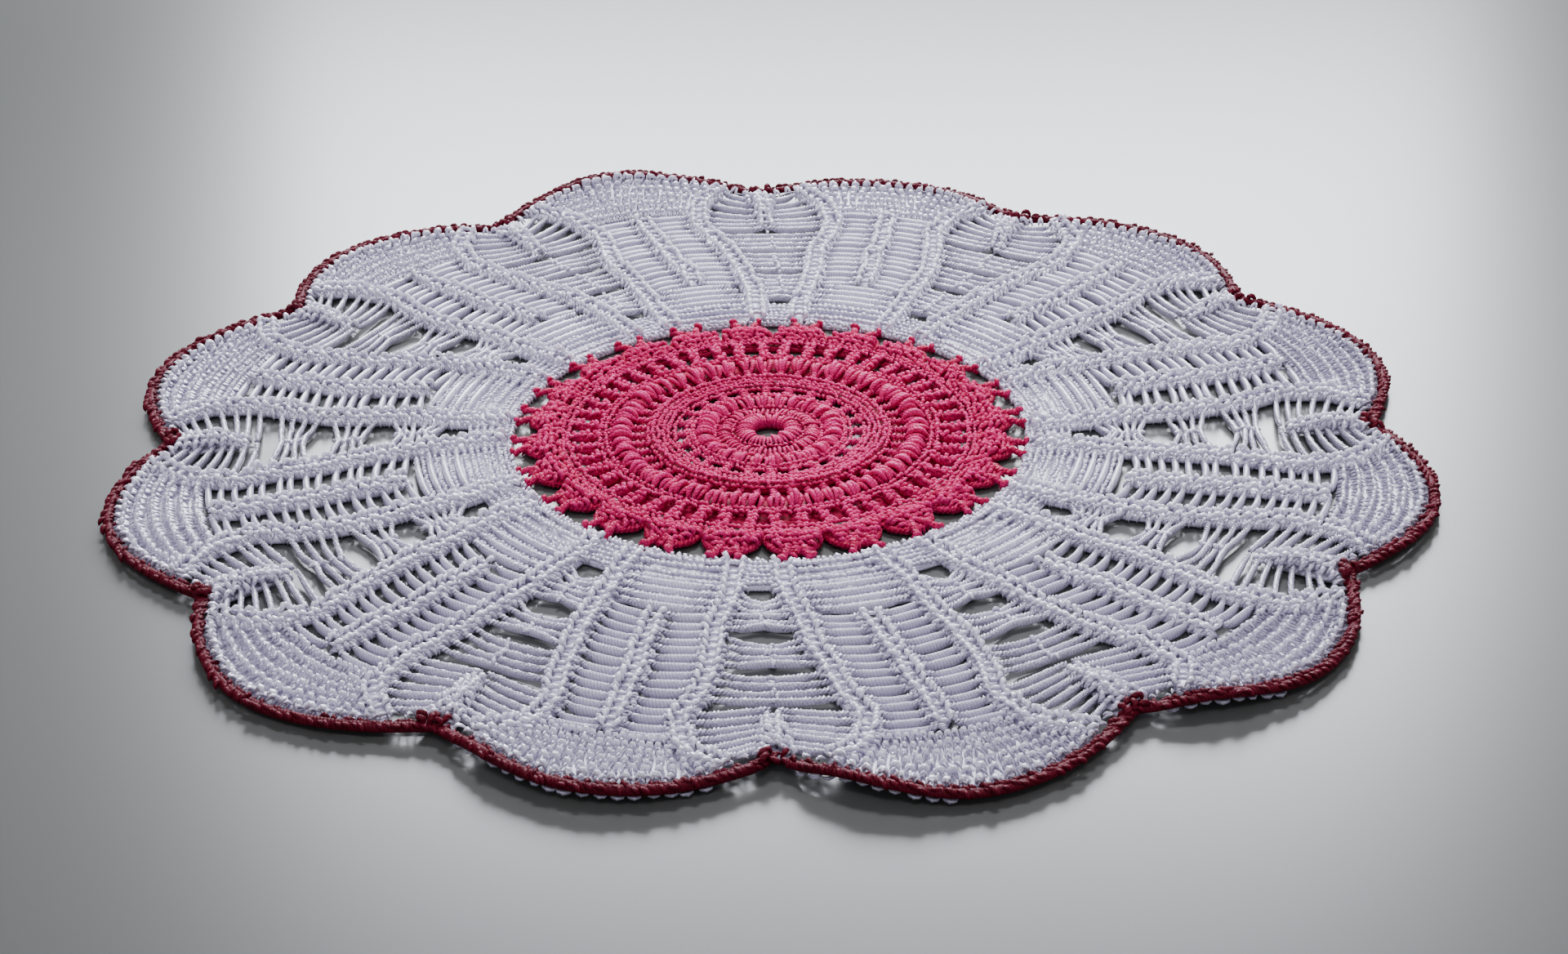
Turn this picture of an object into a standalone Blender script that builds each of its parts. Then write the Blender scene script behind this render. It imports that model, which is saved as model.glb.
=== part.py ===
"""A round crocheted table mat, worked in three threads.

A pink medallion of rounds lies in the middle, a white body of twelve petals with raised ribs
goes round it, and a dark red corded edging closes the rim. Sizes are in millimetres until a
point is placed, and angles are in degrees, turning from -Y towards +X.
"""

import math
from collections import namedtuple

import bmesh
import bpy

MILLIMETRE = 0.001

# The whole mat
PETALS = 12
SECTOR = 360 / PETALS
FIRST_GAP = 1.0
SEAM = 0.3

# The white body: where its main lines run
BODY_INNER = 62.3
INNER_MARK = 94.0
MIDDLE_MARK = 108.0
NOTCH_MARK = 146.0
START_TURN = -2.7
RIM_START = 128.0
SIDE_RIB_WIDTH = 6.2
MIDDLE_RIB_WIDTH = 5.4
RIB_LEAN = 0.5
LENS = 0.2
RIM_STEPS = 20
RIM_HEIGHT = 2.4

# The dark red edging
CORD = 2.5

# The pink medallion
SHELLS = 24
MEDALLION_OUTER = 62.0
MEDALLION_TURN = FIRST_GAP + START_TURN
VALLEY_RADIUS = 56.0
VALLEY_HEIGHT = 2.0
TIP_HEIGHT = 2.6
TIP_SHARE = 0.48

# How the surfaces are finished
FLAT_ANGLE = 0.05
SHARP_ANGLE = 40.0

# Middle line of each gap between two petals: its sideways turn at three radii, the radius of
# the notch that ends it, and how far the rim stands up there
Gap = namedtuple("Gap", "inner_turn middle_turn notch_turn notch_radius lift")
GAPS = (
    Gap(-1.6, -0.6, -0.5, 143.2, 1.2),
    Gap(-1.6, -0.8, -0.3, 146.2, 0.9),
    Gap(-2.5, -1.7, 0.0, 146.4, 0.4),
    Gap(-2.7, -2.0, -0.6, 146.8, 0.3),
    Gap(-1.1, -1.6, -0.9, 144.4, 0.8),
    Gap(-2.0, -1.6, 0.3, 144.6, 1.4),
    Gap(-2.6, -1.2, 0.3, 146.8, 1.8),
    Gap(-2.6, -1.1, 0.3, 146.0, 1.2),
    Gap(-2.4, 0.2, -0.9, 145.2, 0.5),
    Gap(-0.3, 0.9, 0.3, 145.2, 0.3),
    Gap(0.0, 0.6, 0.6, 145.8, 0.6),
    Gap(-1.0, -0.3, 1.5, 146.2, 1.0),
)

# Scalloped end of each petal: its reach, and how far the rim stands up along it
Petal = namedtuple("Petal", "crest_radius first_lift crest_lift last_lift")
PETAL_ENDS = (
    Petal(160.4, 3.4, 1.0, 0.8),
    Petal(160.2, 3.0, 0.6, 0.6),
    Petal(158.8, 1.0, 0.3, 0.5),
    Petal(159.0, 0.6, 0.2, 0.7),
    Petal(159.0, 1.0, 0.8, 1.4),
    Petal(158.4, 1.5, 1.2, 1.8),
    Petal(162.6, 2.4, 4.2, 2.2),
    Petal(160.0, 1.6, 1.0, 0.8),
    Petal(158.8, 0.6, 0.3, 0.4),
    Petal(158.0, 0.5, 0.3, 0.8),
    Petal(160.2, 1.4, 0.6, 0.8),
    Petal(157.6, 2.8, 2.2, 1.4),
)
FIRST_LIFT_SHARE = 0.17
LAST_LIFT_SHARE = 0.83

# How far the middle of a side rib lies from its gap line, as a share of the sector
RibPlace = namedtuple("RibPlace", "radius share")
SIDE_RIB = (
    RibPlace(62.3, 0.155),
    RibPlace(76.0, 0.160),
    RibPlace(88.0, 0.188),
    RibPlace(100.0, 0.205),
    RibPlace(112.0, 0.232),
    RibPlace(127.0, 0.290),
    RibPlace(136.0, 0.250),
    RibPlace(142.0, 0.165),
    RibPlace(147.0, 0.105),
)

# Rings of the body up to the start of the rim. Heights are at the gap line, on the crest of a
# side rib, in the panel beside it and on the crest of the middle rib. Spread is where the end
# of a gap's opening, or further out the foot of its small fan, lies between the gap line and
# the foot of the side rib.
Ring = namedtuple("Ring", "radius gap side panel middle spread")
BODY_RINGS = (
    Ring(62.3, 2.4, 3.4, 2.4, 2.4, 0.50),
    Ring(69.0, 2.4, 4.3, 2.6, 2.7, 0.50),
    Ring(75.3, 2.0, 4.5, 2.6, 2.7, 0.50),
    Ring(80.7, 2.0, 4.5, 2.5, 2.5, 0.50),
    Ring(86.0, 2.4, 4.4, 2.0, 2.4, 0.70),
    Ring(91.2, 2.0, 4.4, 1.8, 4.0, 0.75),
    Ring(97.2, 2.0, 4.4, 1.8, 4.1, 0.75),
    Ring(105.2, 2.0, 4.4, 1.8, 4.1, 0.80),
    Ring(111.6, 2.0, 4.4, 1.8, 4.0, 0.80),
    Ring(119.4, 2.0, 4.4, 1.8, 4.0, 0.80),
    Ring(123.6, 2.2, 4.4, 1.8, 3.9, 0.80),
    Ring(128.0, 3.8, 4.3, 1.8, 3.7, 0.14),
)

# Rings after which a gap or a panel is open, and the columns and cells of one sector there
GAP_RINGS = (2, 5, 7, 9)
PANEL_RING = 4
COLUMNS = 14
GAP_ENDS = (1, 13)
GAP_CELLS = (0, 13)
PANEL_CELLS = (4, 9)

# Rings from there to the rim, by their share of the way out
RimRing = namedtuple("RimRing", "reach gap side panel middle spread")
RIM_RINGS = (
    RimRing(0.38, 4.6, 4.2, 2.0, 2.8, 0.28),
    RimRing(0.72, 4.0, 3.6, 2.3, 2.4, 0.50),
)

# Rounds of the medallion, two columns to a stitch, with the height where a stitch stands and
# where it dips
Round = namedtuple("Round", "radius columns stand dip")
MEDALLION_ROUNDS = (
    Round(4.1, 48, 1.8, 1.8),
    Round(5.8, 48, 2.8, 2.8),
    Round(7.9, 48, 2.0, 2.0),
    Round(10.0, 48, 2.9, 2.2),
    Round(12.4, 48, 1.6, 1.6),
    Round(15.6, 48, 3.8, 2.4),
    Round(18.6, 48, 1.9, 1.9),
    Round(23.6, 48, 1.9, 1.9),
    Round(27.0, 48, 2.6, 2.6),
    Round(29.0, 48, 3.0, 3.0),
    Round(30.2, 48, 1.9, 1.9),
    Round(32.4, 96, 2.0, 1.4),
    Round(36.2, 96, 3.9, 2.4),
    Round(39.8, 96, 2.2, 1.4),
    Round(44.6, 96, 2.4, 1.0),
    Round(48.6, 96, 2.4, 1.8),
)
OPEN_ROUND = 6
SHELL_ROUND = Round(53.0, 96, 4.0, 2.6)

# Section of the edging, from its own middle: outwards and upwards, as shares of its radius
EDGING_SECTION = ((-1.0, -0.75), (0.35, -1.0), (1.0, 0.05), (0.35, 1.0), (-1.0, 0.8))


def between(position, marks):
    """Reads a value off the straight lines between marks, each a position and a value."""
    if position <= marks[0][0]:
        return marks[0][1]
    for (start, low), (end, high) in zip(marks, marks[1:]):
        if position <= end:
            return low + (high - low) * (position - start) / (end - start)
    return marks[-1][1]


def smooth(share):
    share = min(max(share, 0.0), 1.0)
    return share * share * (3 - 2 * share)


def gap_angle(gap, radius):
    """Angle of a gap's middle line, which leans a little on its way out."""
    line = GAPS[gap % PETALS]
    turn = between(
        radius,
        (
            (BODY_INNER, START_TURN),
            (INNER_MARK, line.inner_turn),
            (MIDDLE_MARK, line.middle_turn),
            (NOTCH_MARK, line.notch_turn),
        ),
    )
    return gap * SECTOR + FIRST_GAP + turn


def sector_angle(petal, share, radius):
    """Angle at a share of the way across a petal's sector, from one gap line to the next."""
    return gap_angle(petal, radius) * (1 - share) + gap_angle(petal + 1, radius) * share


def edge_radius(petal, share):
    """Outer radius of the finished rim: a notch at each gap line and a round scallop between."""
    notch = GAPS[petal].notch_radius * (1 - share) + GAPS[(petal + 1) % PETALS].notch_radius * share
    return notch + (PETAL_ENDS[petal].crest_radius - notch) * math.sin(math.pi * share)


def rim_lift(petal, share):
    """How far the rim stands off the table."""
    end = PETAL_ENDS[petal]
    stations = (
        (0.0, GAPS[petal].lift),
        (FIRST_LIFT_SHARE, end.first_lift),
        (0.5, end.crest_lift),
        (LAST_LIFT_SHARE, end.last_lift),
        (1.0, GAPS[(petal + 1) % PETALS].lift),
    )
    for (start, low), (stop, high) in zip(stations, stations[1:]):
        if share <= stop:
            return low + (high - low) * smooth((share - start) / (stop - start))
    return stations[-1][1]


def flat_point(angle, radius):
    turn = math.radians(angle)
    return radius * math.sin(turn), -radius * math.cos(turn)


def edging_line():
    """Middle line of the edging as rows of turn, point, outward normal and lift."""
    outline = []
    for petal in range(PETALS):
        for step in range(RIM_STEPS):
            share = step / RIM_STEPS
            radius = edge_radius(petal, share)
            angle = sector_angle(petal, share, NOTCH_MARK)
            outline.append((petal + share, flat_point(angle, radius), rim_lift(petal, share)))
    line = []
    for index, (turn, point, lift) in enumerate(outline):
        before = outline[index - 1][1]
        after = outline[(index + 1) % len(outline)][1]
        along = (after[0] - before[0], after[1] - before[1])
        length = math.hypot(*along)
        normal = (along[1] / length, -along[0] / length)
        middle = (point[0] - normal[0] * CORD / 2, point[1] - normal[1] * CORD / 2)
        line.append((turn, middle, normal, lift))
    return line


EDGING_LINE = edging_line()
OUTER_X = [middle[0] + normal[0] * CORD / 2 for turn, middle, normal, lift in EDGING_LINE]
OUTER_Y = [middle[1] + normal[1] * CORD / 2 for turn, middle, normal, lift in EDGING_LINE]
CENTRE_X = (max(OUTER_X) + min(OUTER_X)) / 2
CENTRE_Y = (max(OUTER_Y) + min(OUTER_Y)) / 2


def place(x, y, height):
    """A point in metres, with the origin under the middle of the whole outline."""
    return (x - CENTRE_X) * MILLIMETRE, (y - CENTRE_Y) * MILLIMETRE, height * MILLIMETRE


class Sheet:
    """A relief sheet that grows outwards ring by ring, then gets an underside and side walls."""

    def __init__(self):
        self.mesh = bmesh.new()
        self.floor = {}

    def ring(self, points):
        """Adds points given as turn, x, y, height of the top and height of the underside."""
        added = []
        for turn, x, y, top, bottom in points:
            vertex = self.mesh.verts.new(place(x, y, top))
            self.floor[vertex] = bottom * MILLIMETRE
            added.append((turn, vertex))
        return added

    def join(self, inner, outer, open_cells=()):
        """Fills between two rings, with four-sided cells where they have the same columns."""
        if len(inner) == len(outer):
            for index in range(len(inner)):
                after = (index + 1) % len(inner)
                if index not in open_cells:
                    corners = inner[index], outer[index], outer[after], inner[after]
                    self.mesh.faces.new([vertex for turn, vertex in corners])
            return
        inner_loop = inner + [(inner[0][0] + PETALS, inner[0][1])]
        outer_loop = outer + [(outer[0][0] + PETALS, outer[0][1])]
        near = far = 0
        while near < len(inner) or far < len(outer):
            far_is_next = far < len(outer) and (
                near == len(inner) or outer_loop[far + 1][0] <= inner_loop[near + 1][0]
            )
            start = inner_loop[near][1]
            across = outer_loop[far][1]
            if far_is_next:
                far += 1
                self.mesh.faces.new((start, across, outer_loop[far][1]))
            else:
                near += 1
                self.mesh.faces.new((start, across, inner_loop[near][1]))

    def close(self, name, material):
        """Adds the underside and the walls, merges the flat underside and makes the object."""
        top_faces = list(self.mesh.faces)
        rim = [edge for edge in self.mesh.edges if len(edge.link_faces) == 1]
        under = {}
        for vertex, bottom in self.floor.items():
            under[vertex] = self.mesh.verts.new((vertex.co.x, vertex.co.y, bottom))
        flat_faces = []
        for face in top_faces:
            flat_faces.append(self.mesh.faces.new([under[vertex] for vertex in reversed(face.verts)]))
        for edge in rim:
            loop = edge.link_loops[0]
            start = loop.vert
            end = loop.link_loop_next.vert
            self.mesh.faces.new((end, start, under[start], under[end]))
        flat_edges = list({edge for face in flat_faces for edge in face.edges})
        bmesh.ops.dissolve_limit(
            self.mesh,
            angle_limit=math.radians(FLAT_ANGLE),
            verts=list(under.values()),
            edges=flat_edges,
        )
        return finish(self.mesh, name, material)


def finish(mesh, name, material):
    data = bpy.data.meshes.new(name)
    mesh.to_mesh(data)
    mesh.free()
    data.shade_smooth()
    data.set_sharp_from_angle(angle=math.radians(SHARP_ANGLE))
    data.materials.append(material)
    item = bpy.data.objects.new(name, data)
    bpy.context.scene.collection.objects.link(item)
    return item


def thread_material(name, colour, roughness):
    material = bpy.data.materials.new(name)
    material.use_nodes = True
    shader = material.node_tree.nodes["Principled BSDF"]
    shader.inputs["Base Color"].default_value = (*colour, 1.0)
    shader.inputs["Roughness"].default_value = roughness
    shader.inputs["Metallic"].default_value = 0.0
    return material


def body_columns(radius, ring):
    """Across one sector, from its gap line on: share of the sector and height of each column."""
    millimetre_share = 1 / (radius * math.radians(SECTOR))
    side = between(radius, SIDE_RIB)
    half_side = SIDE_RIB_WIDTH / 2 * millimetre_share
    half_middle = MIDDLE_RIB_WIDTH / 2 * millimetre_share
    lean = RIB_LEAN * millimetre_share
    foot = side - half_side
    panel_start = side + half_side
    panel_middle = (panel_start + 0.5 - half_middle) / 2
    return (
        (0.0, ring.gap),
        (foot * ring.spread, ring.panel),
        (foot, ring.panel),
        (side + lean, ring.side),
        (panel_start, ring.panel),
        (panel_middle, ring.panel),
        (0.5 - half_middle, ring.panel),
        (0.5 + lean, ring.middle),
        (0.5 + half_middle, ring.panel),
        (1 - panel_middle, ring.panel),
        (1 - panel_start, ring.panel),
        (1 - side + lean, ring.side),
        (1 - foot, ring.panel),
        (1 - foot * ring.spread, ring.panel),
    )


def body_ring(sheet, index):
    """One ring of the body inside the rim. An opening draws together at its two ends."""
    ring = BODY_RINGS[index]
    points = []
    for petal in range(PETALS):
        for column, (share, top) in enumerate(body_columns(ring.radius, ring)):
            radius = ring.radius
            if column in GAP_ENDS and index in GAP_RINGS:
                radius += LENS * (BODY_RINGS[index + 1].radius - ring.radius)
            if column in GAP_ENDS and index - 1 in GAP_RINGS:
                radius -= LENS * (ring.radius - BODY_RINGS[index - 1].radius)
            x, y = flat_point(sector_angle(petal, share, ring.radius), radius)
            points.append((petal + share, x, y, top, 0.0))
    return sheet.ring(points)


def body_rim_ring(sheet, ring):
    """One ring between the start of the rim and the edging, lifted with the rim."""
    points = []
    for petal in range(PETALS):
        notch_line_radius = RIM_START + ring.reach * (NOTCH_MARK - RIM_START)
        for share, top in body_columns(notch_line_radius, ring):
            outer = edge_radius(petal, share) - CORD - SEAM
            radius = RIM_START + ring.reach * (outer - RIM_START)
            lift = rim_lift(petal, share) * smooth(ring.reach)
            x, y = flat_point(sector_angle(petal, share, notch_line_radius), radius)
            points.append((petal + share, x, y, top + lift, lift))
    return sheet.ring(points)


def body_edge(sheet):
    """The outermost ring, which follows the edging at the width of the seam."""
    offset = CORD / 2 + SEAM
    points = []
    for turn, middle, normal, lift in EDGING_LINE:
        x = middle[0] - normal[0] * offset
        y = middle[1] - normal[1] * offset
        points.append((turn, x, y, RIM_HEIGHT + lift, lift))
    return sheet.ring(points)


def open_cells(cells):
    return {petal * COLUMNS + cell for petal in range(PETALS) for cell in cells}


def make_body():
    sheet = Sheet()
    inner = body_ring(sheet, 0)
    for index in range(1, len(BODY_RINGS)):
        outer = body_ring(sheet, index)
        cells = ()
        if index - 1 in GAP_RINGS:
            cells = open_cells(GAP_CELLS)
        if index - 1 == PANEL_RING:
            cells = open_cells(PANEL_CELLS)
        sheet.join(inner, outer, cells)
        inner = outer
    for ring in RIM_RINGS:
        outer = body_rim_ring(sheet, ring)
        sheet.join(inner, outer)
        inner = outer
    sheet.join(inner, body_edge(sheet))
    return sheet.close("body", thread_material("white_thread", (0.78, 0.77, 0.82), 0.45))


def medallion_round(sheet, item, shell=False):
    """One round of the medallion, standing and dipping in turn. A shell has four columns."""
    points = []
    for column in range(item.columns):
        turn = column / item.columns * PETALS
        stands = column % 2 == 1
        if shell:
            stands = column % (item.columns // SHELLS) != 0
        x, y = flat_point(turn * SECTOR + MEDALLION_TURN, item.radius)
        points.append((turn, x, y, item.stand if stands else item.dip, 0.0))
    return sheet.ring(points)


def medallion_edge(sheet):
    """The shells' tips, with a valley between each two."""
    shell_turn = PETALS / SHELLS
    tip_start = (1 - TIP_SHARE) / 2
    outline = (
        (0.0, VALLEY_RADIUS, VALLEY_HEIGHT),
        (tip_start, MEDALLION_OUTER, TIP_HEIGHT),
        (1 - tip_start, MEDALLION_OUTER, TIP_HEIGHT),
    )
    points = []
    for shell in range(SHELLS):
        for share, radius, top in outline:
            turn = (shell + share) * shell_turn
            x, y = flat_point(turn * SECTOR + MEDALLION_TURN, radius)
            points.append((turn, x, y, top, 0.0))
    return sheet.ring(points)


def make_medallion():
    sheet = Sheet()
    inner = medallion_round(sheet, MEDALLION_ROUNDS[0])
    for index, item in enumerate(MEDALLION_ROUNDS[1:]):
        outer = medallion_round(sheet, item)
        cells = ()
        if index == OPEN_ROUND:
            cells = set(range(0, item.columns, 2))
        sheet.join(inner, outer, cells)
        inner = outer
    shells = medallion_round(sheet, SHELL_ROUND, shell=True)
    sheet.join(inner, shells)
    sheet.join(shells, medallion_edge(sheet))
    return sheet.close("medallion", thread_material("pink_thread", (0.80, 0.10, 0.24), 0.4))


def make_edging():
    mesh = bmesh.new()
    rows = []
    for turn, middle, normal, lift in EDGING_LINE:
        row = []
        for outward, upward in EDGING_SECTION:
            reach = outward * CORD / 2
            x = middle[0] + normal[0] * reach
            y = middle[1] + normal[1] * reach
            row.append(mesh.verts.new(place(x, y, lift + CORD / 2 * (1 + upward))))
        rows.append(row)
    sides = len(EDGING_SECTION)
    for index, row in enumerate(rows):
        after = rows[(index + 1) % len(rows)]
        for side in range(sides):
            across = (side + 1) % sides
            mesh.faces.new((row[side], row[across], after[across], after[side]))
    bmesh.ops.recalc_face_normals(mesh, faces=mesh.faces)
    return finish(mesh, "edging", thread_material("dark_red_thread", (0.16, 0.01, 0.03), 0.5))


def clear_scene():
    for item in list(bpy.data.objects):
        bpy.data.objects.remove(item, do_unlink=True)


clear_scene()
make_medallion()
make_body()
make_edging()
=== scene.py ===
"""A round crocheted table mat, shown as worked thread on a pale table.

Every stitch is a strand of thread laid along a line: rungs, ribs and rows of the white body,
rounds and shells of the pink medallion, and the dark red corded edging. The mat's sizes are in
millimetres until a mesh is made, and its angles in degrees, turning from -Y towards +X. The
table and the lights are placed in metres.
"""

import math
from collections import namedtuple

import bpy
import numpy as np
from mathutils import Matrix, Vector


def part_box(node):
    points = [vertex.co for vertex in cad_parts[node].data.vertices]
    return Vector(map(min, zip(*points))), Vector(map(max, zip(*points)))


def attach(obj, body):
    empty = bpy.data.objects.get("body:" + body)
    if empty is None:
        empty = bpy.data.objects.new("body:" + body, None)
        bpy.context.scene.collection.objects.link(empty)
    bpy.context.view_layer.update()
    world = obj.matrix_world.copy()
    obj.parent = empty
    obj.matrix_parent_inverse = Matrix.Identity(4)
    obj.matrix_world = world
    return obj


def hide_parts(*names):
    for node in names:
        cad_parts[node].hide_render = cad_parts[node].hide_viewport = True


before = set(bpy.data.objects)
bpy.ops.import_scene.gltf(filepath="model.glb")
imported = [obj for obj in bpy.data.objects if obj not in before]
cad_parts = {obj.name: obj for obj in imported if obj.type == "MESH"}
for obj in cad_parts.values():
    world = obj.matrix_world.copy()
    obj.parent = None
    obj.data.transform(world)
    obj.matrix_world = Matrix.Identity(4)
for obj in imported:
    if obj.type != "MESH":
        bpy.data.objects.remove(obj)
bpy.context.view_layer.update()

MM = 0.001
chance = np.random.default_rng(20)


def new_object(name, data):
    thing = bpy.data.objects.new(name, data)
    bpy.context.scene.collection.objects.link(thing)
    return thing


# The camera, from the photograph's viewing angle
CAMERA_PLACE = (3.5, -599.5, 312.0)
CAMERA_DROP = 28.32
CAMERA_ROLL = -0.61
CAMERA_LENS = 64.04
SENSOR = 36.0


def make_camera():
    data = bpy.data.cameras.new("camera")
    data.sensor_width = SENSOR
    data.lens = CAMERA_LENS
    tilt = Matrix.Rotation(math.radians(90 - CAMERA_DROP), 4, "X")
    roll = Matrix.Rotation(math.radians(CAMERA_ROLL), 4, "Z")
    camera = new_object("camera", data)
    camera.matrix_world = Matrix.Translation(Vector(CAMERA_PLACE) * MM) @ tilt @ roll
    bpy.context.scene.camera = camera


make_camera()

# Thread: turns of its plies in a millimetre of its length, plies round it, scale of its fibres and
# of its larger clouds, how far these and a strand's shading value (its painted light and shade, with
# a little random variation) shift its colour, how far the fibres shift its roughness, and the depth
# of its relief
PLY_TURNS = 1.3
PLIES = 3
FIBRE_SCALE = 2600.0
FIBRE_DETAIL = 3.0
FIBRE_SHIFT = 1.2
FIBRE_ROUGHNESS = 0.2
CLOUD_SCALE = 60.0
CLOUD_SHIFT = 0.5
SHADING_AND_TONE_SHIFT = 0.22
RELIEF_DEPTH = 0.13


def set_inputs(tree, node, inputs):
    """Sets a node's inputs to values, or links them to other nodes' outputs."""
    for socket, value in inputs.items():
        if isinstance(value, bpy.types.NodeSocket):
            tree.links.new(value, node.inputs[socket])
        else:
            node.inputs[socket].default_value = value


def add_node(tree, kind, inputs, **settings):
    """Adds a shader node and gives back its outputs."""
    node = tree.nodes.new("ShaderNode" + kind)
    for setting, value in settings.items():
        setattr(node, setting, value)
    set_inputs(tree, node, inputs)
    return node.outputs


def math_node(tree, operation, *values):
    return add_node(tree, "Math", dict(enumerate(values)), operation=operation)[0]


def noise_node(tree, scale, detail=2.0):
    """Noise that is fixed to the object."""
    place = add_node(tree, "TexCoord", {})["Object"]
    return add_node(tree, "TexNoise", {"Vector": place, "Scale": scale, "Detail": detail})["Fac"]


def colour_node(tree, value, dark, light):
    """Goes from the dark to the light colour as the value goes from 0 to 1."""
    ramp = tree.nodes.new("ShaderNodeValToRGB")
    for element, colour in zip(ramp.color_ramp.elements, (dark, light)):
        element.color = (*colour, 1.0)
    tree.links.new(value, ramp.inputs[0])
    return ramp.outputs["Color"]


def ply_node(tree):
    """The ply twist of a strand, from 0 in its grooves to 1 on its ridges."""
    place = add_node(tree, "UVMap", {}, uv_map="thread")["UV"]
    split = add_node(tree, "SeparateXYZ", {0: place})
    along = math_node(tree, "MULTIPLY", split["X"], PLY_TURNS)
    around = math_node(tree, "MULTIPLY", split["Y"], PLIES)
    turns = math_node(tree, "ADD", along, around)
    twist = math_node(tree, "SINE", math_node(tree, "MULTIPLY", turns, math.tau))
    return math_node(tree, "MULTIPLY_ADD", twist, 0.5, 0.5)


def new_material(name):
    """A material, with its node tree and its shader."""
    material = bpy.data.materials.new(name)
    material.use_nodes = True
    tree = material.node_tree
    return material, tree, tree.nodes["Principled BSDF"]


def thread_material(name, dark, light, roughness, shine, sheen, coat=0.0, ply_shade=0.44, grain=0.5):
    """Thread: ply twist, soft sheen, colour varying from strand to strand, painted light and shade."""
    material, tree, shader = new_material(name)
    ply = ply_node(tree)
    fibre = noise_node(tree, FIBRE_SCALE, FIBRE_DETAIL)
    cloud = noise_node(tree, CLOUD_SCALE)
    tone = add_node(tree, "Attribute", {}, attribute_name="tone")["Fac"]
    # The ply's grooves are painted darker and its ridges lighter: painted shade and highlight.
    mix = math_node(tree, "MULTIPLY_ADD", ply, ply_shade, 0.5 - ply_shade / 2)
    # Each strand's shading value shifts the colour: painted light and shade, with a little random
    # variation.
    mix = math_node(tree, "MULTIPLY_ADD", tone, SHADING_AND_TONE_SHIFT, mix)
    for value, shift in ((cloud, CLOUD_SHIFT), (fibre, FIBRE_SHIFT * grain)):
        mix = math_node(tree, "ADD", mix, math_node(tree, "MULTIPLY_ADD", value, shift, -shift / 2))
    relief = {
        "Height": math_node(tree, "MULTIPLY_ADD", fibre, grain, ply),
        "Distance": RELIEF_DEPTH * MM,
        "Strength": 0.55,
    }
    smoothest = roughness - FIBRE_ROUGHNESS / 2
    look = {
        "Base Color": colour_node(tree, mix, dark, light),
        "Roughness": math_node(tree, "MULTIPLY_ADD", fibre, FIBRE_ROUGHNESS, smoothest),
        "Normal": add_node(tree, "Bump", relief)["Normal"],
        "Specular IOR Level": shine,
        "Coat Weight": coat,
        "Coat Roughness": 0.24,
        "Sheen Weight": sheen,
        "Sheen Roughness": 0.35,
    }
    set_inputs(tree, shader, look)
    return material


WHITE = thread_material(
    "white_thread", dark=(0.49, 0.45, 0.60), light=(0.90, 0.87, 1.0),
    roughness=0.32, shine=0.8, sheen=0.1, coat=0.6, grain=0.6,
)
PINK = thread_material(
    "pink_thread", dark=(0.46, 0.0012, 0.055), light=(0.82, 0.028, 0.26),
    roughness=0.5, shine=0.15, sheen=0.04, ply_shade=0.2, grain=2.2,
)
DEEP_PINK = thread_material(
    "deep_pink_thread", dark=(0.42, 0.001, 0.045), light=(0.80, 0.022, 0.23),
    roughness=0.5, shine=0.15, sheen=0.03, ply_shade=0.2, grain=2.2,
)
# A darker copy of the pink thread, for the medallion's cloth: painted shade.
SHADED_PINK = thread_material(
    "shaded_pink_thread", dark=(0.30, 0.0006, 0.035), light=(0.55, 0.002, 0.09),
    roughness=0.6, shine=0.1, sheen=0.0,
)
RED = thread_material(
    "dark_red_thread", dark=(0.055, 0.0004, 0.006), light=(0.18, 0.002, 0.021),
    roughness=0.55, shine=0.15, sheen=0.0,
)

# The table, in metres
TABLE_HALF = 3.0
TABLE_TOP = -0.0002
TABLE_DARK = (0.118, 0.124, 0.114)
TABLE_LIGHT = (0.130, 0.136, 0.126)


def table_material():
    material, tree, shader = new_material("pale_table")
    colour = colour_node(tree, noise_node(tree, scale=5.0), TABLE_DARK, TABLE_LIGHT)
    set_inputs(tree, shader, {"Base Color": colour, "Roughness": 0.29})
    return material


def make_table():
    corners = [(x * TABLE_HALF, y * TABLE_HALF, 0) for x, y in ((-1, -1), (1, -1), (1, 1), (-1, 1))]
    mesh = bpy.data.meshes.new("table")
    mesh.from_pydata(corners, [], [(0, 1, 2, 3)])
    mesh.materials.append(table_material())
    table = new_object("table", mesh)
    table.location.z = TABLE_TOP


def make_light(name, kind, place, target, **settings):
    """A light in its place, in metres, turned towards its target."""
    data = bpy.data.lights.new(name, kind)
    for setting, value in settings.items():
        setattr(data, setting, value)
    light = new_object(name, data)
    light.location = place
    light.rotation_euler = (Vector(target) - Vector(place)).to_track_quat("-Z", "Y").to_euler()


def make_room():
    """Dim light all round, a low window behind the mat, and soft lamps over it and in front."""
    world = bpy.data.worlds.new("room")
    world.use_nodes = True
    background = world.node_tree.nodes["Background"]
    set_inputs(world.node_tree, background, {"Color": (0.87, 0.86, 0.95, 1.0), "Strength": 0.36})
    bpy.context.scene.world = world
    make_light(
        "window", "AREA", place=(0.06, 1.15, 0.58), target=(0, 0, 0),
        shape="RECTANGLE", size=0.82, size_y=0.42, energy=33.0, color=(0.90, 0.92, 1.0),
    )
    make_light(
        "key", "SPOT", place=(0.05, 0.40, 1.0), target=(0.02, 0.05, 0),
        spot_size=math.radians(25.0), spot_blend=1.0, shadow_soft_size=0.22,
        energy=98.0, color=(0.91, 0.92, 1.0),
    )
    make_light(
        "fill", "SPOT", place=(-0.03, -0.60, 1.0), target=(0, 0.02, 0),
        spot_size=math.radians(18.5), spot_blend=1.0, shadow_soft_size=0.3,
        energy=62.0, color=(0.94, 0.91, 1.0),
    )


make_table()
make_room()

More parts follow.
